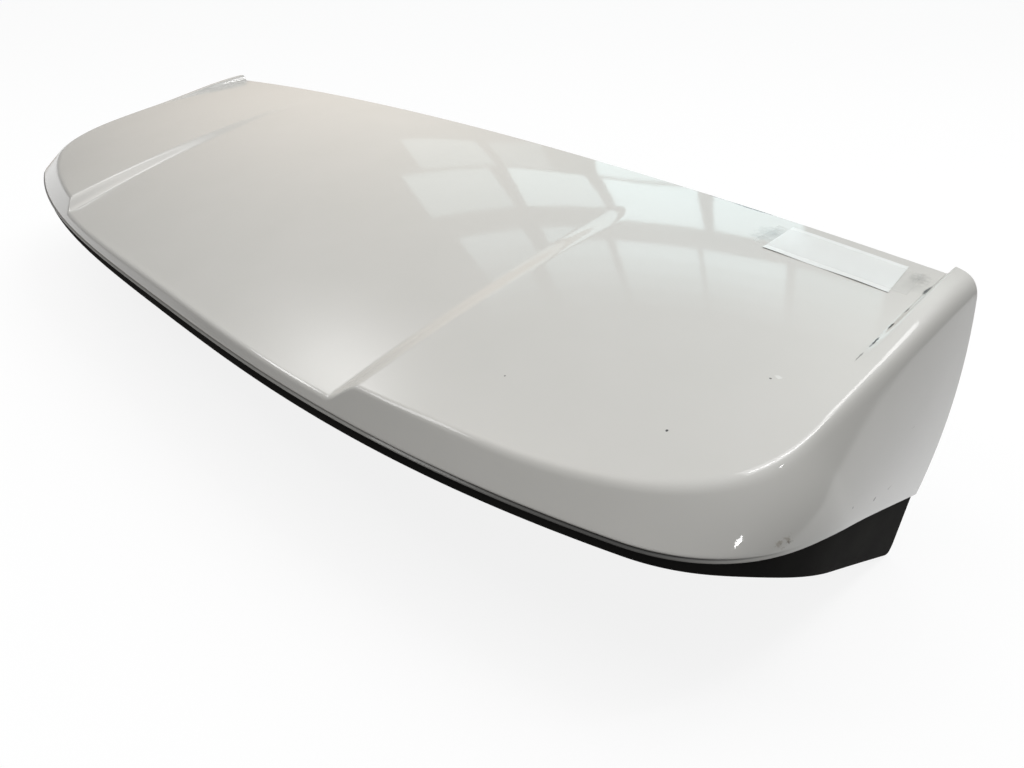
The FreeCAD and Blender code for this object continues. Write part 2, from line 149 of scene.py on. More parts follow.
# Faces of sections carried along a path: every section is a closed loop, and the two ends are capped
# by joining each point to its opposite number.
def loopFaces(sections, around, capped):
    i, j = np.meshgrid(np.arange(sections - 1), np.arange(around), indexing="ij")
    k = (j + 1) % around
    faces = np.stack([i * around + j, i * around + k, (i + 1) * around + k, (i + 1) * around + j], axis=-1)
    faces = faces.reshape(-1, 4)
    if capped:
        j = np.arange(around // 2 - 1)
        first = np.stack([j, around - 1 - j, around - 2 - j, j + 1], axis=-1)
        last = first[:, ::-1] + (sections - 1) * around
        faces = np.concatenate([faces, first, last])
    return faces


def closedLoops(loops, capped=True):  # loops[section, point, xyz] in millimetres; faces turned outwards
    points = loops.reshape(-1, 3)
    faces = loopFaces(loops.shape[0], loops.shape[1], capped)
    a, b, c, d = (points[faces[:, n]] for n in range(4))
    volume = np.sum(a * np.cross(b, c)) + np.sum(a * np.cross(c, d))
    return points, faces if volume > 0 else faces[:, ::-1]


# Profile (radius, z) turned about an upright axis at x, y. It starts and ends on the axis.
def turned(profile, x, y, steps):
    angle = np.linspace(0.0, 2.0 * np.pi, steps, endpoint=False)
    radius, z = np.asarray(profile, dtype=float).T
    ring = np.stack([x + radius[:, None] * np.cos(angle), y + radius[:, None] * np.sin(angle),
                     np.repeat(z[:, None], steps, axis=1)], axis=-1)
    return closedLoops(ring, capped=False)


def roundedRod(radius, low, high, ease):  # profile of a rod with eased rims
    a = np.linspace(0.0, 0.5 * np.pi, 5)
    foot = np.stack([radius - ease + ease * np.sin(a), low + ease - ease * np.cos(a)], axis=-1)
    head = np.stack([radius - ease + ease * np.cos(a), high - ease + ease * np.sin(a)], axis=-1)
    return np.concatenate([[(0.0, low)], foot, head, [(0.0, high)]])


# Puts closed surfaces, given as points in millimetres and quads, into one mesh object at the origin.
def madePiece(name, surfaces, material, sharpAngle=35.0, grooveShade=None):
    counts = np.cumsum([0] + [len(points) for points, faces in surfaces])
    faces = np.concatenate([faces + start for (points, faces), start in zip(surfaces, counts)])
    points = np.concatenate([points for points, faces in surfaces]) * 0.001
    mesh = bpy.data.meshes.new(name)
    mesh.vertices.add(len(points))
    mesh.vertices.foreach_set("co", points.ravel())
    mesh.loops.add(faces.size)
    mesh.loops.foreach_set("vertex_index", faces.ravel().astype(np.int32))
    mesh.polygons.add(len(faces))
    mesh.polygons.foreach_set("loop_start", np.arange(0, faces.size, 4, dtype=np.int32))
    mesh.update(calc_edges=True)
    if grooveShade is not None:  # how much painted shade each point of the first surface takes, for its material
        shadeAmount = np.zeros(len(points), dtype=np.float32)
        shadeAmount[:len(grooveShade)] = grooveShade
        mesh.attributes.new("grooveShade", "FLOAT", "POINT").data.foreach_set("value", shadeAmount)
    piece = bpy.data.objects.new(name, mesh)
    scene.collection.objects.link(piece)
    mergePoles(mesh)
    mesh.polygons.foreach_set("use_smooth", np.ones(len(mesh.polygons), dtype=bool))
    mesh.set_sharp_from_angle(angle=math.radians(sharpAngle))
    mesh.materials.append(material)
    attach(piece, "root")
    return piece


def mergePoles(mesh):  # points that fall together, as at the ends of a turned profile
    work = bmesh.new()
    work.from_mesh(mesh)
    bmesh.ops.remove_doubles(work, verts=work.verts, dist=1e-6)
    work.to_mesh(mesh)
    work.free()


def linear(hexColour):
    rgb = np.array([int(hexColour[n:n + 2], 16) for n in (1, 3, 5)]) / 255.0
    rgb = np.where(rgb <= 0.04045, rgb / 12.92, ((rgb + 0.055) / 1.055) ** 2.4)
    return (*rgb.tolist(), 1.0)


# Adds a node, sets its properties and socket values, and links what is given as a socket.
def addNode(tree, kind, props=None, **inputs):
    node = tree.nodes.new(kind)
    for key, value in (props or {}).items():
        setattr(node, key, value)
    for key, value in inputs.items():
        socket = node.inputs[int(key[1:])] if key[1:].isdigit() else node.inputs[key.replace("_", " ")]
        if isinstance(value, bpy.types.NodeSocket):
            tree.links.new(value, socket)
        else:
            socket.default_value = value
    return node


def newMaterial(name, **values):
    material = bpy.data.materials.new(name)
    material.use_nodes = True
    tree = material.node_tree
    shader = tree.nodes["Principled BSDF"]
    for key, value in values.items():
        shader.inputs[key.replace("_", " ")].default_value = value
    place = addNode(tree, "ShaderNodeTexCoord").outputs["Object"]
    return material, tree, shader, place


# Gloss white body paint under clear coat: an even, slightly warm white with a mirror-like skin whose
# faint waviness bends reflections. Chips show the dark plastic and scuffs are brown. Painted shade darkens
# the groove above the tail's lower edge, where the coat is dulled too. Each mark is a ragged ellipsoid:
# centre and half sizes in millimetres, colour, strength and raggedness. Smudges beside the label are the same
# with a softer edge.
paintLook = {
    "white": "#DCDAD5", "shade": "#D6D5CF", "tintMm": 60.0, "waveMm": 9.0, "waveHeight": 0.000012,
    "grooveShade": "#2E2D2B", "dullCoat": 0.1, "ragMm": 3.5, "markFade": 0.45, "smudgeFade": 1.2,
    "smudges": [
        ((408, 16, 46), (16, 14, 8), "#7E7D78", 0.7, 0.8),
        ((403, 4, 46), (12, 5, 8), "#7E7D78", 0.5, 0.9),
        ((521, 24, 41), (8, 11, 8), "#7C7B76", 0.6, 0.9),
        ((522, 12, 41), (10, 13, 8), "#A3A29C", 0.45, 0.8),
    ],
    "marks": [
        ((480, -217, 3), (1.0, 1.2, 3), "#2A2A2A", 1.0, 0.5),  # chips on the top
        ((502, -142, 18), (1.3, 0.9, 3), "#3A3936", 0.9, 0.9),
        ((367, -243, 3), (0.8, 0.8, 3), "#4A4946", 0.8, 0.5),
        ((505, -138, 18), (2.4, 1.6, 3), "#F2F2EE", 0.7, 1.0),
        ((561, -225, -24), (1.2, 1.2, 1.2), "#6E604E", 0.9, 0.8),  # scuffs on the cheek
        ((568, -219, -29), (4, 7, 1.3), "#4E4438", 0.95, 1.4),
        ((566, -222, -27), (4, 11, 3.2), "#8E806C", 0.5, 1.8),
        ((576, -156, -34), (2, 1.5, 1.2), "#3E3830", 1.0, 0.8),
        ((577, -125, -45), (2, 2.8, 1.3), "#544D43", 0.9, 1.2),
        ((566, -142, -9), (2, 1.2, 1.0), "#55504A", 0.9, 0.7),
        ((577, -101, -49), (2, 4, 1.0), "#8A8378", 0.6, 1.8),
        ((572, -70, -20), (2, 5, 0.6), "#B3B0A8", 0.6, 1.4),
        ((531.8, 11, 39), (2.2, 8, 6), "#1E1E1E", 1.0, 0.5),  # dashes of dirt in the seam beside the rim
        ((532.6, -23, 37), (0.9, 4.5, 5), "#242424", 1.0, 0.8),
        ((532.8, -47, 33), (1.1, 6, 5), "#1C1C1C", 1.0, 0.6),
        ((532.8, -69, 29), (0.9, 8, 5), "#222222", 1.0, 0.7),
        ((532.6, -88, 25), (0.6, 6, 5), "#6A6964", 0.7, 1.2),
        ((532.4, 20, 44), (0.5, 30, 8), "#3C3B39", 0.8, 0.5),
        ((368, 45, 51), (26, 2.0, 5), "#2E2E2D", 1.0, 0.6),  # dark lines on the front edge
        ((333, 45, 53), (10, 1.3, 5), "#7C7B77", 0.7, 0.8),
    ],
}


def whitePaint():
    look = paintLook
    material, tree, shader, place = newMaterial("gloss white paint under clear coat", Roughness=0.38,
                                                IOR=1.5, Coat_Roughness=0.05, Coat_IOR=1.5)
    broad = addNode(tree, "ShaderNodeTexNoise", Vector=place, Scale=1000.0 / look["tintMm"], Detail=4.0)
    ragged = addNode(tree, "ShaderNodeTexNoise", Vector=place, Scale=1000.0 / look["ragMm"], Detail=5.0,
                     Roughness=0.65)
    colour = addNode(tree, "ShaderNodeMix", {"data_type": "RGBA"}, _0=broad.outputs[0],
                     _6=linear(look["white"]), _7=linear(look["shade"])).outputs[2]
    # Painted shade in the groove above the tail's lower edge: darker colour there, and a duller coat below
    shadeAmount = addNode(tree, "ShaderNodeAttribute", {"attribute_name": "grooveShade"})
    colour = addNode(tree, "ShaderNodeMix", {"data_type": "RGBA"}, _0=shadeAmount.outputs["Fac"], _6=colour,
                     _7=linear(look["grooveShade"])).outputs[2]
    spots = [(*mark, look["markFade"]) for mark in look["marks"]]
    spots += [(*mark, look["smudgeFade"]) for mark in look["smudges"]]
    for centre, half, hexColour, strength, rag, fade in spots:
        away = addNode(tree, "ShaderNodeVectorMath", {"operation": "SUBTRACT"}, _0=place,
                       _1=tuple(0.001 * c for c in centre))
        away = addNode(tree, "ShaderNodeVectorMath", {"operation": "MULTIPLY"}, _0=away.outputs[0],
                       _1=tuple(1000.0 / h for h in half))
        away = addNode(tree, "ShaderNodeVectorMath", {"operation": "LENGTH"}, _0=away.outputs[0])
        edge = addNode(tree, "ShaderNodeMath", {"operation": "MULTIPLY_ADD"}, _0=ragged.outputs[0],
                       _1=2.0 * rag, _2=away.outputs["Value"])
        spot = addNode(tree, "ShaderNodeMapRange", _0=edge.outputs[0], _1=rag + 1.0 - fade, _2=rag + 1.0,
                       _3=strength, _4=0.0)
        colour = addNode(tree, "ShaderNodeMix", {"data_type": "RGBA"}, _0=spot.outputs[0], _6=colour,
                         _7=linear(hexColour)).outputs[2]
    tree.links.new(colour, shader.inputs["Base Color"])
    gloss = addNode(tree, "ShaderNodeMapRange", _0=shadeAmount.outputs["Fac"], _3=1.0, _4=look["dullCoat"])
    tree.links.new(gloss.outputs[0], shader.inputs["Coat Weight"])
    wave = addNode(tree, "ShaderNodeTexNoise", Vector=place, Scale=1000.0 / look["waveMm"], Detail=1.0)
    bump = addNode(tree, "ShaderNodeBump", Height=wave.outputs[0], Distance=look["waveHeight"], Strength=1.0)
    tree.links.new(bump.outputs[0], shader.inputs["Coat Normal"])
    return material


# Black polypropylene, moulded with a fine spark-eroded grain: dull, slightly warm, a soft sheen at the edges.
# The grain is drawn at 1.2 mm, coarser than real, so that it shows.
coverLook = {"black": "#333231", "worn": "#3D3C3A", "cloudMm": 45.0, "grainMm": 1.2, "grainHeight": 0.00015}


def blackPolypropylene():
    look = coverLook
    material, tree, shader, place = newMaterial("black polypropylene, moulded grain", Roughness=0.78,
                                                IOR=1.49, Specular_IOR_Level=0.02)
    cloud = addNode(tree, "ShaderNodeTexNoise", Vector=place, Scale=1000.0 / look["cloudMm"], Detail=5.0)
    patch = addNode(tree, "ShaderNodeMapRange", _0=cloud.outputs[0], _1=0.4, _2=0.75)
    colour = addNode(tree, "ShaderNodeMix", {"data_type": "RGBA"}, _0=patch.outputs[0],
                     _6=linear(look["black"]), _7=linear(look["worn"]))
    tree.links.new(colour.outputs[2], shader.inputs["Base Color"])
    grain = addNode(tree, "ShaderNodeTexNoise", Vector=place, Scale=1000.0 / look["grainMm"], Detail=2.0)
    bump = addNode(tree, "ShaderNodeBump", Height=grain.outputs[0], Distance=look["grainHeight"],
                   Strength=0.5)
    tree.links.new(bump.outputs[0], shader.inputs["Normal"])
    return material


# Zinc-plated steel: bright grey metal with a slightly cloudy passivated skin.
zincLook = {"bright": "#C9C8C0", "dull": "#A9AAA6", "cloudMm": 4.0}


def zincPlatedSteel():
    look = zincLook
    material, tree, shader, place = newMaterial("zinc plated steel", Metallic=1.0, Roughness=0.34)
    cloud = addNode(tree, "ShaderNodeTexNoise", Vector=place, Scale=1000.0 / look["cloudMm"], Detail=4.0)
    colour = addNode(tree, "ShaderNodeMix", {"data_type": "RGBA"}, _0=cloud.outputs[0],
                     _6=linear(look["bright"]), _7=linear(look["dull"]))
    tree.links.new(colour.outputs[2], shader.inputs["Base Color"])
    return material


# Black phosphated steel: dark, dull and faintly crystalline.
phosphateLook = {"dark": "#2A2A2B", "pale": "#3B3A39", "crystalMm": 0.8}


def phosphatedSteel():
    look = phosphateLook
    material, tree, shader, place = newMaterial("black phosphated steel", Metallic=0.7, Roughness=0.55)
    cloud = addNode(tree, "ShaderNodeTexNoise", Vector=place, Scale=1000.0 / look["crystalMm"], Detail=3.0)
    colour = addNode(tree, "ShaderNodeMix", {"data_type": "RGBA"}, _0=cloud.outputs[0],
                     _6=linear(look["dark"]), _7=linear(look["pale"]))
    tree.links.new(colour.outputs[2], shader.inputs["Base Color"])
    return material


# Closed-cell foam, skived: matte charcoal with fine round cells about a millimetre wide, painted darker in
# their hollows as painted shade.
foamLook = {"shadedPit": "#1C1C1D", "wall": "#38383A", "cellMm": 1.1, "cellHeight": 0.0004}


def closedCellFoam():
    look = foamLook
    material, tree, shader, place = newMaterial("closed cell foam", Roughness=0.95, IOR=1.4)
    cells = addNode(tree, "ShaderNodeTexVoronoi", Vector=place, Scale=1000.0 / look["cellMm"])
    # Painted shade: the colour goes darker towards each cell's hollow, where the bump sinks
    colour = addNode(tree, "ShaderNodeMix", {"data_type": "RGBA"}, _0=cells.outputs["Distance"],
                     _6=linear(look["shadedPit"]), _7=linear(look["wall"]))
    tree.links.new(colour.outputs[2], shader.inputs["Base Color"])
    bump = addNode(tree, "ShaderNodeBump", Height=cells.outputs["Distance"], Distance=look["cellHeight"],
                   Strength=0.7)
    tree.links.new(bump.outputs[0], shader.inputs["Normal"])
    return material


# Clear polypropylene tape: a thin gloss film, a little cloudy where it doesn't stick.
tapeLook = {"clear": "#F4F6F4", "cloudy": "#D9DCD9", "cloudMm": 6.0, "cover": 0.06}


def clearTape():
    look = tapeLook
    material, tree, shader, place = newMaterial("clear polypropylene tape", Roughness=0.1, IOR=1.46,
                                                Alpha=look["cover"])
    cloud = addNode(tree, "ShaderNodeTexNoise", Vector=place, Scale=1000.0 / look["cloudMm"], Detail=4.0)
    colour = addNode(tree, "ShaderNodeMix", {"data_type": "RGBA"}, _0=cloud.outputs[0],
                     _6=linear(look["clear"]), _7=linear(look["cloudy"]))
    tree.links.new(colour.outputs[2], shader.inputs["Base Color"])
    return material


# Coated label paper: flat off-white, a little creased, with a thin gloss.
paperLook = {"white": "#FAFCFA", "grey": "#F1F4F1", "cloudMm": 14.0, "creaseMm": 22.0, "creaseHeight": 0.0006}


def labelPaper():
    look = paperLook
    material, tree, shader, place = newMaterial("coated label paper", Roughness=0.5, IOR=1.5,
                                                Coat_Weight=0.6, Coat_Roughness=0.12)
    cloud = addNode(tree, "ShaderNodeTexNoise", Vector=place, Scale=1000.0 / look["cloudMm"], Detail=5.0)
    colour = addNode(tree, "ShaderNodeMix", {"data_type": "RGBA"}, _0=cloud.outputs[0],
                     _6=linear(look["white"]), _7=linear(look["grey"]))
    tree.links.new(colour.outputs[2], shader.inputs["Base Color"])
    crease = addNode(tree, "ShaderNodeTexNoise", Vector=place, Scale=1000.0 / look["creaseMm"], Detail=2.0)
    bump = addNode(tree, "ShaderNodeBump", Height=crease.outputs[0], Distance=look["creaseHeight"],
                   Strength=0.5)
    tree.links.new(bump.outputs[0], shader.inputs["Normal"])
    return material


# Painted shell: sections run back over the top, over the rim, round the crease and down to the lower edge.
# The groove is listed from its top down as height over that edge, depth and share of painted shade.
shellMake = {"wall": 3.0, "top": 40, "rim": 12, "round": 12, "skirt": 22, "flangeHalf": 522.0,
             "frontInset": 30.0, "flangeSetback": 0.6, "flangeDepth": 16.0, "lipWidth": 13.0,
             "grooveFade": (-200.0, 85.0), "shadeFade": (260.0, 230.0), "leastShade": 0.55,
             "groove": [(4.2, 0.0, 0.0), (3.7, 0.1, 0.0), (3.2, 0.3, 0.1), (2.7, 0.7, 0.3), (2.3, 1.2, 0.8),
                        (2.1, 1.6, 1.0), (1.7, 1.5, 1.0), (0.9, 0.9, 0.95), (0.3, 0.7, 0.9), (0.0, 0.8, 0.9)]}


def creaseOnFace(raised, edge):  # slide down the sloping face to where the sunk panel meets it
    x, back = raised.T
    plain = shape["crownRise"] * (1.0 - (x / shape["seamHalf"]) ** 2)
    plain = plain - shape["frontSlope"] * back - shape["tailDroop"] * (back / shape["creaseDepth"]) ** 2
    low, high = np.zeros(len(x)), np.ones(len(x))
    for _ in range(40):
        f = 0.5 * (low + high)
        at = mixed(raised, edge, f[:, None])
        above = mixed(plain, edgeHeight(edge[:, 1]), f) > topHeight(at[:, 0], at[:, 1])
        low, high = np.where(above, f, low), np.where(above, high, f)
    return mixed(raised, edge, low[:, None])


def shellGrid():
    make = shellMake
    crease = halfOutline(shape["creaseFrontHalf"], shape["creaseFrontBack"], shape["creaseSideHalf"],
                         shape["creaseSideBack"], shape["creaseTailHalf"], shape["creaseDepth"],
                         shape["creaseBow"])
    inset = shape["seamInset"]
    seam = halfOutline(shape["seamHalf"], 0.0, shape["seamHalf"], shape["creaseSideBack"] - inset,
                       shape["creaseTailHalf"] - inset, shape["creaseDepth"] - inset, shape["creaseBow"])
    edge = halfOutline(shape["edgeFrontHalf"], shape["edgeFrontBack"], shape["edgeSideHalf"],
                       shape["edgeSideBack"], shape["edgeTailHalf"], shape["edgeDepth"], shape["edgeBow"])
    frontX = frontColumns(crease, make["flangeHalf"] - make["frontInset"])
    front = np.stack([frontX, np.zeros(len(crease))], axis=-1)
    number = np.arange(len(crease))
    raised = np.where(number[:, None] >= columns["side"], creaseOnFace(crease, edge), crease)
    sideways = 1.0 - smoothStep((number - columns["side"] + 1) / columns["corner"])
    rearward = np.clip(raised[:, 1] / shape["creaseSideBack"], 0.0, 1.0)
    shoulder = (raised[:, 0] - shape["panelHalf"]) / (shape["creaseTailHalf"] - shape["panelHalf"])
    setback = mixed(shape["roundFront"], shape["roundCorner"], rearward)
    setback = mixed(shape["roundTail"], setback, smoothStep(shoulder))
    inward = seam - raised
    begin = raised + inward * (setback / np.hypot(*inward.T))[:, None]

    def onTop(start, end, f):
        at = mixed(start[:, None], end[:, None], f[None, :, None])
        return placed(at[..., 0], at[..., 1], topHeight(at[..., 0], at[..., 1]))

    top = onTop(front, seam, closing(make["top"], 1.8))
    rim = onTop(seam, begin, np.linspace(0.0, 1.0, make["rim"])[1:])
    corner = onTop(raised, raised, np.zeros(1))
    lower = placed(edge[:, 0], edge[:, 1], edgeHeight(edge[:, 1]))[:, None]
    belly = 0.5 * (corner + lower)
    belly[:, 0, 0] += shape["cheekBulge"] * sideways
    turn = (setback / np.linalg.norm(lower - corner, axis=-1)[:, 0])[:, None, None]
    f = np.linspace(0.0, 1.0, make["round"])[1:][None, :, None]
    bend = curved(rim[:, -1:], corner, curved(corner, belly, lower, turn), f)
    above = np.array(make["groove"])[:, 0] / np.linalg.norm(lower - corner, axis=-1)
    foot = 1.0 - above[..., None]
    f = mixed(turn, foot[:, :1], np.linspace(0.0, 1.0, make["skirt"])[1:-1][None, :, None])
    skirt = curved(corner, belly, lower, np.concatenate([f, foot], axis=1))
    return bothHalves(np.concatenate([top, rim, bend, skirt], axis=1))


# Sinks the foot of the face level inwards along the tail: a shadow line over a set-back band.
# Painted shade is laid in it, most at the corners; the paint's coat is dulled there too.
def grooved(grid):
    make = shellMake
    depth, shadeAmount = np.array(make["groove"]).T[1:]
    start, run = make["grooveFade"]
    rear = smoothStep((start - grid[:, -1:, 1]) / run)
    start, run = make["shadeFade"]
    cornerShade = mixed(make["leastShade"], 1.0, smoothStep((np.abs(grid[:, -1:, 0]) - start) / run))
    # Painted shade for the groove's rows, fading out forwards and heaviest towards the corners
    sunk, grooveShade = np.zeros(grid.shape[:2]), np.zeros(grid.shape[:2])
    sunk[:, -len(depth):] = depth * rear
    grooveShade[:, -len(depth):] = shadeAmount * rear * cornerShade
    inward = -sheetNormals(grid) * np.array([1.0, 1.0, 0.0])
    inward = inward / np.maximum(np.linalg.norm(inward, axis=-1, keepdims=True), 0.1)
    return grid + inward * sunk[..., None], grooveShade


# A band under the crowned front edge: oblong loops carried across the car at the crown's height
def crownBand(upper, lower, start, width):
    x = np.linspace(-shellMake["flangeHalf"], shellMake["flangeHalf"], 81)
    crown = topHeight(x, 0.0 * x)
    ends = [(start, upper), (start, lower), (start + width, lower), (start + width, upper)]
    return closedLoops(np.stack([placed(x, back, crown - drop) for back, drop in ends], axis=1))


# What is moulded under the top: stud towers with their pads, ribs, pegs and screw bosses
towerMake = {"towerDia": 16.0, "padDia": 36.0, "padThick": 4.0, "seat": 3.0, "ribThick": 2.4,
             "ribLength": 230.0, "ribFront": 11.5, "pegDia": 8.0, "pegBaseDia": 12.0, "pegLength": 14.0,
             "pegChamfer": 2.0, "bossDia": 9.0, "studX": (-400.0, -150.0, 150.0, 400.0),
             "pegX": (-275.0, 275.0)}


def inTopWall(x, back):  # halfway into the wall under the top, where towers and bosses end
    return float(topHeight(x, back)) - 0.5 * shellMake["wall"] + shape["seatDrop"]


def ribLoops(x):  # a thin upright blade under the top that tapers out towards the tail
    make = towerMake
    back = np.linspace(shellMake["flangeSetback"] + 0.5 * shellMake["wall"], make["ribLength"], 40)
    height = topHeight(x, back) - 0.5 * shellMake["wall"]
    depth = np.linspace(make["ribFront"], shellMake["wall"], 40)
    half = 0.5 * make["ribThick"]
    loop = [placed(x - half, back, height), placed(x - half, back, height - depth),
            placed(x + half, back, height - depth), placed(x + half, back, height)]
    return closedLoops(np.stack(loop, axis=1))


def paintedShell(material):
    make, tower = shellMake, towerMake
    plain = shellGrid()
    outer, grooveShade = grooved(plain)
    inner = plain - sheetNormals(plain) * make["wall"]
    inner[..., 2] = np.maximum(inner[..., 2], outer[:, -1:, 2])
    surfaces = [closedLoops(np.concatenate([outer, inner[:, ::-1]], axis=1))]
    surfaces.append(crownBand(0.5 * make["wall"], make["flangeDepth"], make["flangeSetback"], make["wall"]))
    surfaces.append(crownBand(make["flangeDepth"] - make["wall"], make["flangeDepth"], make["flangeSetback"],
                              make["lipWidth"]))
    setback = shape["studSetback"]
    for x in tower["studX"]:
        seat, roof = tower["seat"], inTopWall(x, setback)
        surfaces.append(turned(roundedRod(0.5 * tower["towerDia"], seat, roof, 0.6), x, 0.0, 48))
        pad = roundedRod(0.5 * tower["padDia"], seat, seat + tower["padThick"], 0.8)
        surfaces.append(turned(pad, x, 0.0, 64))
        surfaces.append(ribLoops(x))
    for x in tower["pegX"]:
        roof = inTopWall(x, setback)
        surfaces.append(turned(roundedRod(0.5 * tower["pegBaseDia"], 0.0, roof, 0.6), x, 0.0, 40))
        radius, low, chamfer = 0.5 * tower["pegDia"], -tower["pegLength"], tower["pegChamfer"]
        surfaces.append(turned([(0, low), (radius - chamfer, low), (radius, low + chamfer), (radius, 1.0),
                                (0, 1.0)], x, 0.0, 40))
    for x, back in screwPlaces():
        boss = roundedRod(0.5 * tower["bossDia"], padTop(back), inTopWall(x, back), 0.4)
        surfaces.append(turned(boss, x, setback - back, 32))
    grooveShade = np.concatenate([grooveShade, np.zeros_like(grooveShade)], axis=1).ravel()
    piece = madePiece("painted_shell", surfaces, material, grooveShade=grooveShade)
    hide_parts("upper_shell")
    return piece


# Lower cover: sections run from its front edge over the flat skin, down the flank on a parabola, round the
# tip on a cubic and straight up the side.
coverMake = {"wall": 2.6, "inset": 2.5, "gap": 0.3, "frontBack": 88.0, "frontHalf": 468.0,
             "tailLevel": 74.065, "frontLevel": 80.065, "stripDrop": 12.0, "stripCorner": 8.0,
             "finStart": 286.0, "finFall": 0.54, "tipThick": 7.0, "tipFullness": 0.6, "frontRound": 8.0,
             "flank": 72.0, "flankTail": 7.0, "skin": 34, "tip": 11, "side": 10, "flangeHeight": 20.0,
             "flangeSetback": 0.5}

# Screws, and the pads and holes that they take in the cover
screwMake = {"x": (110.0, 330.0), "rows": (118.0, 328.0), "dia": 3.8, "length": 14.0, "headDia": 8.4,
             "headThick": 2.4, "seatThick": 2.4, "holeDia": 4.2, "sinkDia": 10.4, "sinkDepth": 16.0,
             "padDia": 16.0, "padRise": 6.0, "dome": 0.9, "recess": 1.5, "armHalf": 0.75, "armReach": 2.4}


def screwPlaces():
    return [(side * x, back) for back in screwMake["rows"] for x in screwMake["x"] for side in (-1.0, 1.0)]


def coverLevel(back):  # the flat skin, on a straight slope from the tail to the front
    f = (shape["edgeDepth"] - back) / (shape["edgeDepth"] - coverMake["frontBack"])
    return -mixed(coverMake["tailLevel"], coverMake["frontLevel"], f)


def padTop(back):
    return coverLevel(back) + screwMake["padRise"] + shape["seatDrop"]


def tipHeight(x, back):  # a thin strip along the tail, deepening into a fin towards the front of each cheek
    strip = mixed(coverMake["stripDrop"], coverMake["stripCorner"],
                  np.clip(np.abs(x) / shape["edgeTailHalf"], 0.0, 1.0) ** 2)
    return -shape["edgeTailDrop"] - strip - coverMake["finFall"] * softRun(coverMake["finStart"] - back)


def frontRise(back):  # rounds the fin's lower front corner by a quarter circle
    r = coverMake["frontRound"]
    short = np.clip(r - (back - coverMake["frontBack"]), 0.0, r)
    return r - np.sqrt(r * r - short * short)


def coverGrid(inset):
    make = coverMake
    side = (shape["edgeFrontHalf"] - make["inset"], shape["edgeSideHalf"] - make["inset"])
    tail = (shape["edgeTailHalf"], shape["edgeDepth"] - make["inset"], shape["edgeBow"])
    rim = halfOutline(side[0], shape["edgeFrontBack"], side[1], shape["edgeSideBack"], *tail)
    tip = halfOutline(side[0], make["frontBack"], side[1], shape["edgeSideBack"], *tail)
    front = np.stack([frontColumns(tip, make["frontHalf"]), np.full(len(tip), make["frontBack"])], axis=-1)
    after = np.concatenate([tip[1:], tip[-2:-1] * np.array([-1.0, 1.0])])
    along = after - np.concatenate([tip[:1], tip[:-1]])
    inward = np.stack([-along[:, 1], along[:, 0]], axis=-1) / np.hypot(*along.T)[:, None]
    lowest = tipHeight(tip[:, 0], tip[:, 1])
    depth = coverLevel(tip[:, 1]) - lowest
    deepest = coverLevel(make["frontBack"]) - tipHeight(shape["edgeFrontHalf"], make["frontBack"])
    flank = mixed(make["flankTail"], make["flank"], depth / deepest)
    roundAt = (lowest + 0.5 * make["tipThick"] + frontRise(tip[:, 1]))[:, None]
    root = tip + inward * (make["tipThick"] - inset)
    bend = 1.0 - flank / np.sum((front - root) * inward, axis=-1)
    f = closing(make["skin"], 2.5)[None, :]
    at = mixed(front[:, None], root[:, None], f[..., None])
    share = np.clip((f - bend[:, None]) / (1.0 - bend[:, None]), 0.0, 1.0) ** 2
    skin = placed(at[..., 0], at[..., 1], mixed(coverLevel(at[..., 1]) + inset, roundAt, share))
    start = skin[:, -1:]
    foot = tip + inward * inset
    end = placed(foot[:, 0], foot[:, 1], roundAt[:, 0])[:, None]
    handle = make["tipFullness"] * (make["tipThick"] - 2.0 * inset)
    slant = skin[:, -1:] - skin[:, -2:-1]
    lead = start + slant / np.linalg.norm(slant, axis=-1, keepdims=True) * handle
    rise = end - np.array([0.0, 0.0, handle])
    f = np.linspace(0.0, 1.0, make["tip"])[1:][None, :, None]
    nose = mixed(curved(start, lead, rise, f), curved(lead, rise, end, f), f)
    head = rim + inward * inset
    top = placed(head[:, 0], head[:, 1], edgeHeight(rim[:, 1]) - make["gap"])[:, None]
    f = np.linspace(0.0, 1.0, make["side"])[1:][None, :, None]
    return bothHalves(np.concatenate([skin, nose, mixed(end, top, f)], axis=1))


def booleanDone(piece, other, operation):  # joins or cuts, and keeps the result as the piece's own mesh
    step = piece.modifiers.new("step", "BOOLEAN")
    step.operation, step.solver, step.object = operation, "EXACT", other
    made = bpy.data.meshes.new_from_object(piece.evaluated_get(bpy.context.evaluated_depsgraph_get()))
    piece.modifiers.clear()
    piece.data = made
    bpy.data.objects.remove(other)


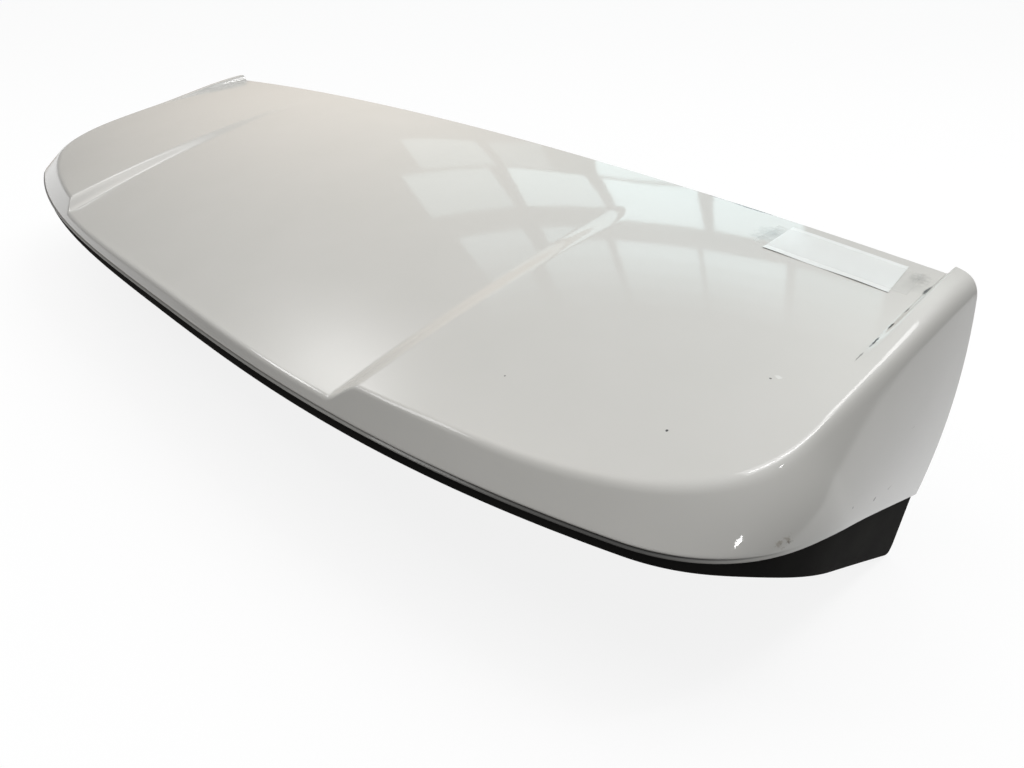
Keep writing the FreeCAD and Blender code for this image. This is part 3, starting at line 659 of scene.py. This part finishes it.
def lowerCover(material):
    make, screw = coverMake, screwMake
    outer, inner = coverGrid(0.0), coverGrid(make["wall"])
    skin = closedLoops(np.concatenate([outer, inner[:, ::-1]], axis=1))
    piece = madePiece("lower_cover_skin", [skin], material)
    front = make["frontBack"] + make["flangeSetback"]
    x = np.linspace(-make["frontHalf"], make["frontHalf"], 61)
    low = coverLevel(make["frontBack"]) + 0.5 * make["wall"]
    ends = [(front, low), (front, low + make["flangeHeight"]),
            (front + make["wall"], low + make["flangeHeight"]), (front + make["wall"], low)]
    pads = [closedLoops(np.stack([placed(x, back, height) for back, height in ends], axis=1))]
    cuts = []
    for x, back in screwPlaces():
        y, top = shape["studSetback"] - back, padTop(back)
        seat, foot = top - screw["seatThick"], top - screw["padRise"] + 0.5 * make["wall"]
        pads.append(turned(roundedRod(0.5 * screw["padDia"], foot, top, 0.5), x, y, 40))
        sink, hole, below = 0.5 * screw["sinkDia"], 0.5 * screw["holeDia"], seat - screw["sinkDepth"]
        cuts.append(turned([(0, below), (sink, below), (sink, seat), (hole, seat), (hole, top + 1.0),
                            (0, top + 1.0)], x, y, 40))
    booleanDone(piece, madePiece("cover_pads", pads, material), "UNION")
    booleanDone(piece, madePiece("cover_cuts", cuts, material), "DIFFERENCE")
    piece.data.set_sharp_from_angle(angle=math.radians(35.0))
    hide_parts("lower_cover")
    return piece


# Studs: a plain flange and root, and a threaded shank whose radius runs in a helix with the angle.
studMake = {"dia": 6.0, "pitch": 1.0, "threadDepth": 0.55, "length": 24.0, "leadIn": 2.0, "endShare": 0.78,
            "flangeDia": 18.0, "flangeThick": 3.0, "rootDia": 8.0, "rootLength": 16.0}


def mountingStuds(material):
    make = studMake
    angle = np.linspace(0.0, 2.0 * np.pi, 48, endpoint=False)
    z = np.linspace(-make["length"], -1.0, 231)[:, None]
    turn = (z / make["pitch"] - angle / (2.0 * np.pi)) % 1.0
    ridge = 1.0 - np.abs(2.0 * turn - 1.0)
    groove = make["threadDepth"] * (1.0 - smoothStep(1.5 * ridge - 0.1))
    lead = smoothStep((z + make["length"]) / make["leadIn"])  # the thread runs in over a chamfered end
    radius = (0.5 * make["dia"] - groove) * mixed(make["endShare"], 1.0, lead)
    surfaces = []
    for x in towerMake["studX"]:
        shank = np.stack([x + radius * np.cos(angle), radius * np.sin(angle),
                          np.broadcast_to(z, radius.shape)], axis=-1)
        foot = np.broadcast_to(np.array([x, 0.0, -make["length"]]), (1, 48, 3))
        neck = np.stack([x + 0.5 * make["dia"] * np.cos(angle), 0.5 * make["dia"] * np.sin(angle),
                         np.full(48, 1.0)], axis=-1)[None]
        head = np.broadcast_to(np.array([x, 0.0, 1.0]), (1, 48, 3))
        surfaces.append(closedLoops(np.concatenate([foot, shank, neck, head]), capped=False))
        flange = roundedRod(0.5 * make["flangeDia"], 0.0, make["flangeThick"], 0.5)
        surfaces.append(turned(flange, x, 0.0, 64))
        low, high = make["flangeThick"] - 1.0, make["flangeThick"] + make["rootLength"]
        surfaces.append(turned(roundedRod(0.5 * make["rootDia"], low, high, 0.4), x, 0.0, 40))
    piece = madePiece("threaded_studs", surfaces, material)
    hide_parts("mounting_studs")


# Seals: a rounded square profile turned into a ring round each stud flange.
sealMake = {"dia": 36.0, "holeDia": 20.0, "thick": 3.0, "ease": 0.8}


def studSeals(material):
    make = sealMake
    a = np.linspace(0.0, 2.0 * np.pi, 32, endpoint=False)
    half, tall, ease = 0.25 * (make["dia"] - make["holeDia"]), 0.5 * make["thick"], make["ease"]
    across = np.clip(1.6 * half * np.cos(a), ease - half, half - ease) + ease * np.cos(a)
    up = np.clip(4.4 * tall * np.sin(a), ease - tall, tall - ease) + ease * np.sin(a) + tall
    middle = 0.25 * (make["dia"] + make["holeDia"])
    turn = np.linspace(0.0, 2.0 * np.pi, 73)[:, None]
    surfaces = []
    for x in towerMake["studX"]:
        ring = np.stack([x + (middle + across) * np.cos(turn), (middle + across) * np.sin(turn),
                         np.broadcast_to(up, (73, 32))], axis=-1)
        surfaces.append(closedLoops(ring, capped=False))
    piece = madePiece("foam_rings", surfaces, material)
    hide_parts("stud_seals")


# Cover screws: a domed head with a cross recess worked out from |x| and |y|, and a plain hidden shank.
def coverScrews(material):
    make = screwMake
    radial = np.linspace(0.0, 1.0, 26)[:, None]
    angle = np.linspace(0.0, 2.0 * np.pi, 64, endpoint=False)
    radius = 0.5 * make["headDia"] * np.sin(0.5 * np.pi * radial)
    px, py = radius * np.cos(angle), radius * np.sin(angle)
    dome = make["dome"] * (1.0 - (radius / (0.5 * make["headDia"])) ** 2)
    arm = np.minimum(np.abs(px), np.abs(py))
    reach = np.maximum(np.abs(px), np.abs(py))
    cross = smoothStep((make["armHalf"] - arm) / 0.25) * smoothStep((make["armReach"] - reach) / 0.4)
    surfaces = []
    for x, back in screwPlaces():
        y, seat = shape["studSetback"] - back, padTop(back) - make["seatThick"]
        low = seat - make["headThick"]
        face = low + make["dome"] - dome + make["recess"] * cross
        head = np.stack([x + px, y + py, face], axis=-1)
        rim, neck, tip = 0.5 * make["headDia"], 0.5 * make["dia"], seat + make["length"]
        rings = [(rim, seat), (neck, seat), (neck, tip - 2.0), (0.4, tip), (0.0, tip)]
        shank = [np.stack([x + r * np.cos(angle), y + r * np.sin(angle), np.full(64, z)], axis=-1)
                 for r, z in rings]
        surfaces.append(closedLoops(np.concatenate([head, np.stack(shank)]), capped=False))
    piece = madePiece("cross_screws", surfaces, material)
    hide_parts("cover_screws")


# Foam strip: a soft-cornered oblong profile carried along the crown under the front lip.
foamMake = {"width": 10.0, "thick": 4.0, "ease": 1.0}


def foamStrip(material):
    make = foamMake
    a = np.linspace(0.0, 2.0 * np.pi, 32, endpoint=False) + np.pi / 32
    across = np.clip(9.0 * np.cos(a), make["ease"] - 0.5 * make["width"], 0.5 * make["width"] - make["ease"])
    across = across + make["ease"] * np.cos(a)
    up = np.clip(9.0 * np.sin(a), make["ease"] - 0.5 * make["thick"], 0.5 * make["thick"] - make["ease"])
    up = up + make["ease"] * np.sin(a)
    x = np.linspace(-shellMake["flangeHalf"], shellMake["flangeHalf"], 161)[:, None]
    middle = shellMake["flangeSetback"] + 0.5 * shellMake["lipWidth"]
    crown = topHeight(x, 0.0 * x) - shellMake["flangeDepth"] - 0.5 * make["thick"]
    piece = madePiece("foam_strip", [closedLoops(placed(x, middle + across, crown + up))], material, 60.0)
    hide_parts("front_foam_strip")


# Label: a blank sheet laid on the top between four corners (x, y), its rear and right edges a little lifted.
# Clear tape reaches over it and past both of its ends.
labelMake = {"corners": [(413, -10), (513, -9), (508, 35), (413, 36)], "thick": 0.15, "lift": 0.5,
             "tapeCorners": [(401, -5), (524, -4), (520, 30), (403, 31)], "tapeThick": 0.05, "wrinkle": 0.12}


# A sheet between four corners, straight along u and v, at the top's height plus what rise gives at u, v
def laidSheet(name, corners, thick, rise, material):
    u, v = np.meshgrid(np.linspace(0.0, 1.0, 90), np.linspace(0.0, 1.0, 36), indexing="ij")
    a, b, c, d = (np.array(p, dtype=float) for p in corners)
    at = mixed(mixed(a, b, u[..., None]), mixed(d, c, u[..., None]), v[..., None])
    x, back = at[..., 0], shape["studSetback"] - at[..., 1]
    low = placed(x, back, topHeight(x, back) + rise(u, v))
    high = low + np.array([0.0, 0.0, thick])
    piece = madePiece(name, [closedLoops(np.concatenate([high, low[:, ::-1]], axis=1))], material)


def labelRise(u, v):  # waves along the rear edge and a lifted right end
    rear = (1.0 - smoothStep(v / 0.12)) * (0.5 + 0.5 * np.sin(9.0 * u + 1.0))
    right = 0.4 * smoothStep((u - 0.96) / 0.04) * (0.6 + 0.4 * np.sin(14.0 * v))
    return 0.05 + labelMake["lift"] * (rear + right)


def tapeRise(u, v):  # down on the paint past the label's ends, with small wrinkles that run across
    over = smoothStep((u - 0.07) / 0.05) * (1.0 - smoothStep((u - 0.9) / 0.05))
    wrinkle = np.sin(61.0 * u + 5.0 * np.sin(3.0 * v)) * np.sin(23.0 * u - 4.0 * v)
    wrinkle = wrinkle * np.sin(7.0 * v + 9.0 * u)
    return 0.22 + 0.28 * over + labelMake["wrinkle"] * wrinkle


paint, polypropylene = whitePaint(), blackPolypropylene()
zinc, phosphate, foam = zincPlatedSteel(), phosphatedSteel(), closedCellFoam()
print("materials made")
paintedShell(paint)
print("shell made")
lowerCover(polypropylene)
print("lower cover made")
mountingStuds(zinc)
studSeals(foam)
coverScrews(phosphate)
foamStrip(foam)
laidSheet("blank_label", labelMake["corners"], labelMake["thick"], labelRise, labelPaper())
laidSheet("clear_tape", labelMake["tapeCorners"], labelMake["tapeThick"], tapeRise, clearTape())
print("fasteners, foam and label made")

# Floor and low wall in one sweep, white to the eye and grey to the light it throws back. The white fades up
# the wall. Behind the tail, and only within reach, the paint mirrors the floor darker and warmer than that.
stageLook = {"floorZ": -0.1446, "flat": 4.5, "reach": 7.0, "wall": 0.95, "bounce": 0.1, "glow": 0.86,
             "dusk": 0.1, "shade": 0.16, "mirrored": "#A69C92", "mirrorSide": (0.25, 1.0, 0.0),
             "mirrorFade": (-0.35, -0.05), "mirrorReach": (1.2, 2.4)}


def paleFloor():
    look = stageLook
    turn = np.linspace(0.0, 2.0 * np.pi, 97)[:, None]
    bend = np.linspace(0.0, 0.5 * np.pi, 16)
    radius = np.concatenate([[0.0, look["flat"]], mixed(look["flat"], look["reach"], np.sin(bend))[1:]])
    height = np.concatenate([[0.0, 0.0], look["wall"] * (1.0 - np.cos(bend))[1:]]) + look["floorZ"]
    points = np.stack(np.broadcast_arrays(radius * np.cos(turn), radius * np.sin(turn), height), axis=-1)
    i, j = np.meshgrid(np.arange(96), np.arange(len(radius) - 1), indexing="ij")
    first = i * len(radius) + j
    second = first + len(radius)
    faces = np.stack([first, first + 1, second + 1, second], axis=-1).reshape(-1, 4)
    mesh = bpy.data.meshes.new("floor")
    mesh.from_pydata(points.reshape(-1, 3).tolist(), [], faces.tolist())
    mergePoles(mesh)
    mesh.polygons.foreach_set("use_smooth", np.ones(len(mesh.polygons), dtype=bool))
    floor = bpy.data.objects.new("floor", mesh)
    scene.collection.objects.link(floor)
    material = bpy.data.materials.new("pale floor")
    material.use_nodes = True
    tree = material.node_tree
    tree.nodes.clear()
    path = addNode(tree, "ShaderNodeLightPath")
    seen = addNode(tree, "ShaderNodeMath", {"operation": "MAXIMUM"}, _0=path.outputs["Is Camera Ray"],
                   _1=path.outputs["Is Glossy Ray"])
    seen = addNode(tree, "ShaderNodeMath", {"operation": "MAXIMUM"}, _0=seen.outputs[0],
                   _1=path.outputs["Is Transmission Ray"])
    place = addNode(tree, "ShaderNodeTexCoord")
    split = addNode(tree, "ShaderNodeSeparateXYZ", _0=place.outputs["Object"])
    level = addNode(tree, "ShaderNodeMapRange", {"interpolation_type": "SMOOTHSTEP"}, _0=split.outputs["Z"],
                    _1=0.05, _2=look["wall"] + look["floorZ"], _3=look["glow"], _4=look["dusk"])
    pale = addNode(tree, "ShaderNodeBsdfDiffuse", Color=(look["shade"],) * 3 + (1.0,))
    side = addNode(tree, "ShaderNodeVectorMath", {"operation": "DOT_PRODUCT"}, _0=place.outputs["Object"],
                   _1=look["mirrorSide"])
    start, end = look["mirrorFade"]
    beside = addNode(tree, "ShaderNodeMapRange", {"interpolation_type": "SMOOTHSTEP"},
                     _0=side.outputs["Value"], _1=start, _2=end)
    away = addNode(tree, "ShaderNodeVectorMath", {"operation": "LENGTH"}, _0=place.outputs["Object"])
    start, end = look["mirrorReach"]
    far = addNode(tree, "ShaderNodeMapRange", {"interpolation_type": "SMOOTHSTEP"}, _0=away.outputs["Value"],
                  _1=start, _2=end)
    plain = addNode(tree, "ShaderNodeMath", {"operation": "MAXIMUM"}, _0=beside.outputs[0], _1=far.outputs[0])
    dim = addNode(tree, "ShaderNodeMix", {"data_type": "RGBA"}, _0=plain.outputs[0],
                  _6=linear(look["mirrored"]), _7=(1.0, 1.0, 1.0, 1.0))
    tone = addNode(tree, "ShaderNodeMix", {"data_type": "RGBA"}, _0=path.outputs["Is Glossy Ray"],
                   _6=(1.0, 1.0, 1.0, 1.0), _7=dim.outputs[2])
    glow = addNode(tree, "ShaderNodeEmission", Color=tone.outputs[2], Strength=level.outputs[0])
    white = addNode(tree, "ShaderNodeAddShader", _0=pale.outputs[0], _1=glow.outputs[0])
    grey = addNode(tree, "ShaderNodeBsdfDiffuse", Color=(look["bounce"],) * 3 + (1.0,))
    mix = addNode(tree, "ShaderNodeMixShader", _0=seen.outputs[0], _1=grey.outputs[0], _2=white.outputs[0])
    below = addNode(tree, "ShaderNodeNewGeometry").outputs["Backfacing"]  # clear, to show the underside
    clear = addNode(tree, "ShaderNodeBsdfTransparent")
    mix = addNode(tree, "ShaderNodeMixShader", _0=below, _1=mix.outputs[0], _2=clear.outputs[0])
    addNode(tree, "ShaderNodeOutputMaterial", Surface=mix.outputs[0])
    mesh.materials.append(material)


# A dome that brightens towards its top lights the object, with soft glows (bearing and rise, tightness,
# radiance, colour) on it. Bearings run from +Y towards +X, and the dome's top leans forwards. Soft boxes are
# there for the paint to mirror. Each box: the spot it is mirrored in, bearing and rise in degrees as seen
# from that spot, distance, width and height in metres, and radiance. Window panes (bearing, width in degrees,
# radiance) stand in rows (which panes, rise, height in degrees, share of radiance).
lightSet = {
    "dome": "#FCFDFF", "horizon": 0.16, "zenith": 1.32, "domeTop": (0.0, 73.0), "domePower": 5.0,
    "glows": [((-60.0, 17.0), 14.0, 0.82, "#FFF3E4"), ((-87.0, 45.0), 170.0, 3.3, "#FFFFFF"),
              ((-13.0, 45.0), 90.0, 0.8, "#F6FFF9"), ((-99.0, 62.0), 40.0, 1.4, "#FFF8F0")],
    "boxes": [
        ("key", (0.54, -0.18, 0.0), 22.0, 65.0, 2.6, 0.9, 1.3, 2.6),
        ("key core", (0.54, -0.18, 0.0), 30.0, 64.0, 2.5, 0.12, 1.2, 11.0),
        ("rim box", (0.544, -0.115, 0.02), 2.0, 54.0, 2.6, 0.55, 0.4, 4.0),
        ("notch box", (0.2, -0.325, -0.023), -109.0, 39.0, 2.6, 0.45, 0.35, 6.0),
        ("tail strip", (0.36, -0.3, -0.012), -125.0, 50.0, 2.6, 0.5, 0.7, 3.8),
        ("near lamp", (0.547, -0.239, -0.023), 105.0, 37.0, 3.0, 0.14, 0.14, 26.0),
        ("far lamp", (0.545, -0.197, 0.0), 64.0, 54.0, 3.0, 0.07, 0.07, 30.0),
    ],
    "panes": {"spot": (0.3, -0.05, 0.04), "distance": 10.0, "colour": "#DFFBFF",
              "top": [(-56.4, 7.6, 0.4), (-49.0, 5.0, 0.25), (-37.3, 9.3, 1.6), (-27.2, 8.4, 1.6)],
              "middle": [(-58.2, 9.6, 0.65), (-47.6, 8.4, 1.2), (-37.3, 9.3, 1.9), (-27.2, 8.4, 1.9)],
              "low": [(-58.0, 8.0, 0.8), (-47.6, 8.4, 1.0), (-38.0, 9.0, 1.45), (-28.7, 8.6, 1.5),
                      (-19.2, 8.6, 0.8)],
              "rows": [("top", 24.8, 5.2, 1.0), ("middle", 31.0, 6.2, 1.0), ("low", 38.3, 2.2, 1.0),
                       ("low", 40.4, 2.0, 0.75), ("low", 42.4, 2.0, 0.45), ("low", 44.4, 2.0, 0.2)]},
}


def towards(bearing, rise):
    a, e = math.radians(bearing), math.radians(rise)
    return Vector((math.sin(a) * math.cos(e), math.cos(a) * math.cos(e), math.sin(e)))


def softBox(name, spot, bearing, rise, distance, width, height, radiance):
    light = bpy.data.lights.new(name, "AREA")
    light.shape = "RECTANGLE"
    light.size, light.size_y = width, height
    light.energy = radiance * math.pi * width * height
    lamp = bpy.data.objects.new(name, light)
    scene.collection.objects.link(lamp)
    away = towards(bearing, rise)
    lamp.location = Vector(spot) + distance * away
    lamp.rotation_euler = (-away).to_track_quat("-Z", "Y").to_euler()
    lamp.visible_camera = False
    return lamp


def studioLight():
    world = bpy.data.worlds.new("studio")
    scene.world = world
    world.use_nodes = True
    tree = world.node_tree
    place = addNode(tree, "ShaderNodeTexCoord")
    up = addNode(tree, "ShaderNodeVectorMath", {"operation": "DOT_PRODUCT"}, _0=place.outputs["Generated"],
                 _1=towards(*lightSet["domeTop"]))
    up = addNode(tree, "ShaderNodeMath", {"operation": "MAXIMUM"}, _0=up.outputs["Value"], _1=0.0)
    up = addNode(tree, "ShaderNodeMath", {"operation": "POWER"}, _0=up.outputs[0], _1=lightSet["domePower"])
    level = addNode(tree, "ShaderNodeMapRange", _0=up.outputs[0], _3=lightSet["horizon"],
                    _4=lightSet["zenith"])
    light = addNode(tree, "ShaderNodeVectorMath", {"operation": "MULTIPLY"}, _0=level.outputs[0],
                    _1=linear(lightSet["dome"])[:3])
    for aim, tightness, radiance, hexColour in lightSet["glows"]:
        near = addNode(tree, "ShaderNodeVectorMath", {"operation": "DOT_PRODUCT"},
                       _0=place.outputs["Generated"], _1=towards(*aim))
        near = addNode(tree, "ShaderNodeMath", {"operation": "MAXIMUM"}, _0=near.outputs["Value"], _1=0.0)
        near = addNode(tree, "ShaderNodeMath", {"operation": "POWER"}, _0=near.outputs[0], _1=tightness)
        light = addNode(tree, "ShaderNodeVectorMath", {"operation": "MULTIPLY_ADD"}, _0=near.outputs[0],
                        _1=tuple(radiance * part for part in linear(hexColour)[:3]), _2=light.outputs[0])
    tree.links.new(light.outputs[0], tree.nodes["Background"].inputs["Color"])
    for box in lightSet["boxes"]:
        softBox(*box)
    panes = lightSet["panes"]
    metres = panes["distance"] * math.radians(1.0)
    for row, rise, height, share in panes["rows"]:
        for bearing, width, radiance in panes[row]:
            pane = softBox("window pane", panes["spot"], bearing, rise, panes["distance"],
                           metres * width * math.cos(math.radians(rise)), metres * height, radiance * share)
            pane.data.color = linear(panes["colour"])[:3]


paleFloor()
studioLight()
print("stage made")

# Camera fitted to the photograph: 770 pixels of focal length in a frame 1024 wide
cameraFit = {"at": (0.6882, -0.5445, 0.2651), "right": (0.6923, 0.7217, 0.0), "up": (-0.3754, 0.3601, 0.854),
             "back": (0.6163, -0.5912, 0.5202), "focalPixels": 770.0, "frameWidth": 1024.0, "sensorMm": 36.0}


def photoCamera():
    fit = cameraFit
    data = bpy.data.cameras.new("camera")
    data.sensor_width = fit["sensorMm"]
    data.lens = fit["focalPixels"] / fit["frameWidth"] * fit["sensorMm"]
    data.clip_start = 0.01
    camera = bpy.data.objects.new("camera", data)
    scene.collection.objects.link(camera)
    turn = Matrix((fit["right"], fit["up"], fit["back"])).transposed()
    camera.rotation_mode = "QUATERNION"
    camera.rotation_quaternion = turn.to_quaternion()
    camera.location = fit["at"]
    scene.camera = camera


photoCamera()
scene.view_settings.view_transform = "Standard"
print("camera made")
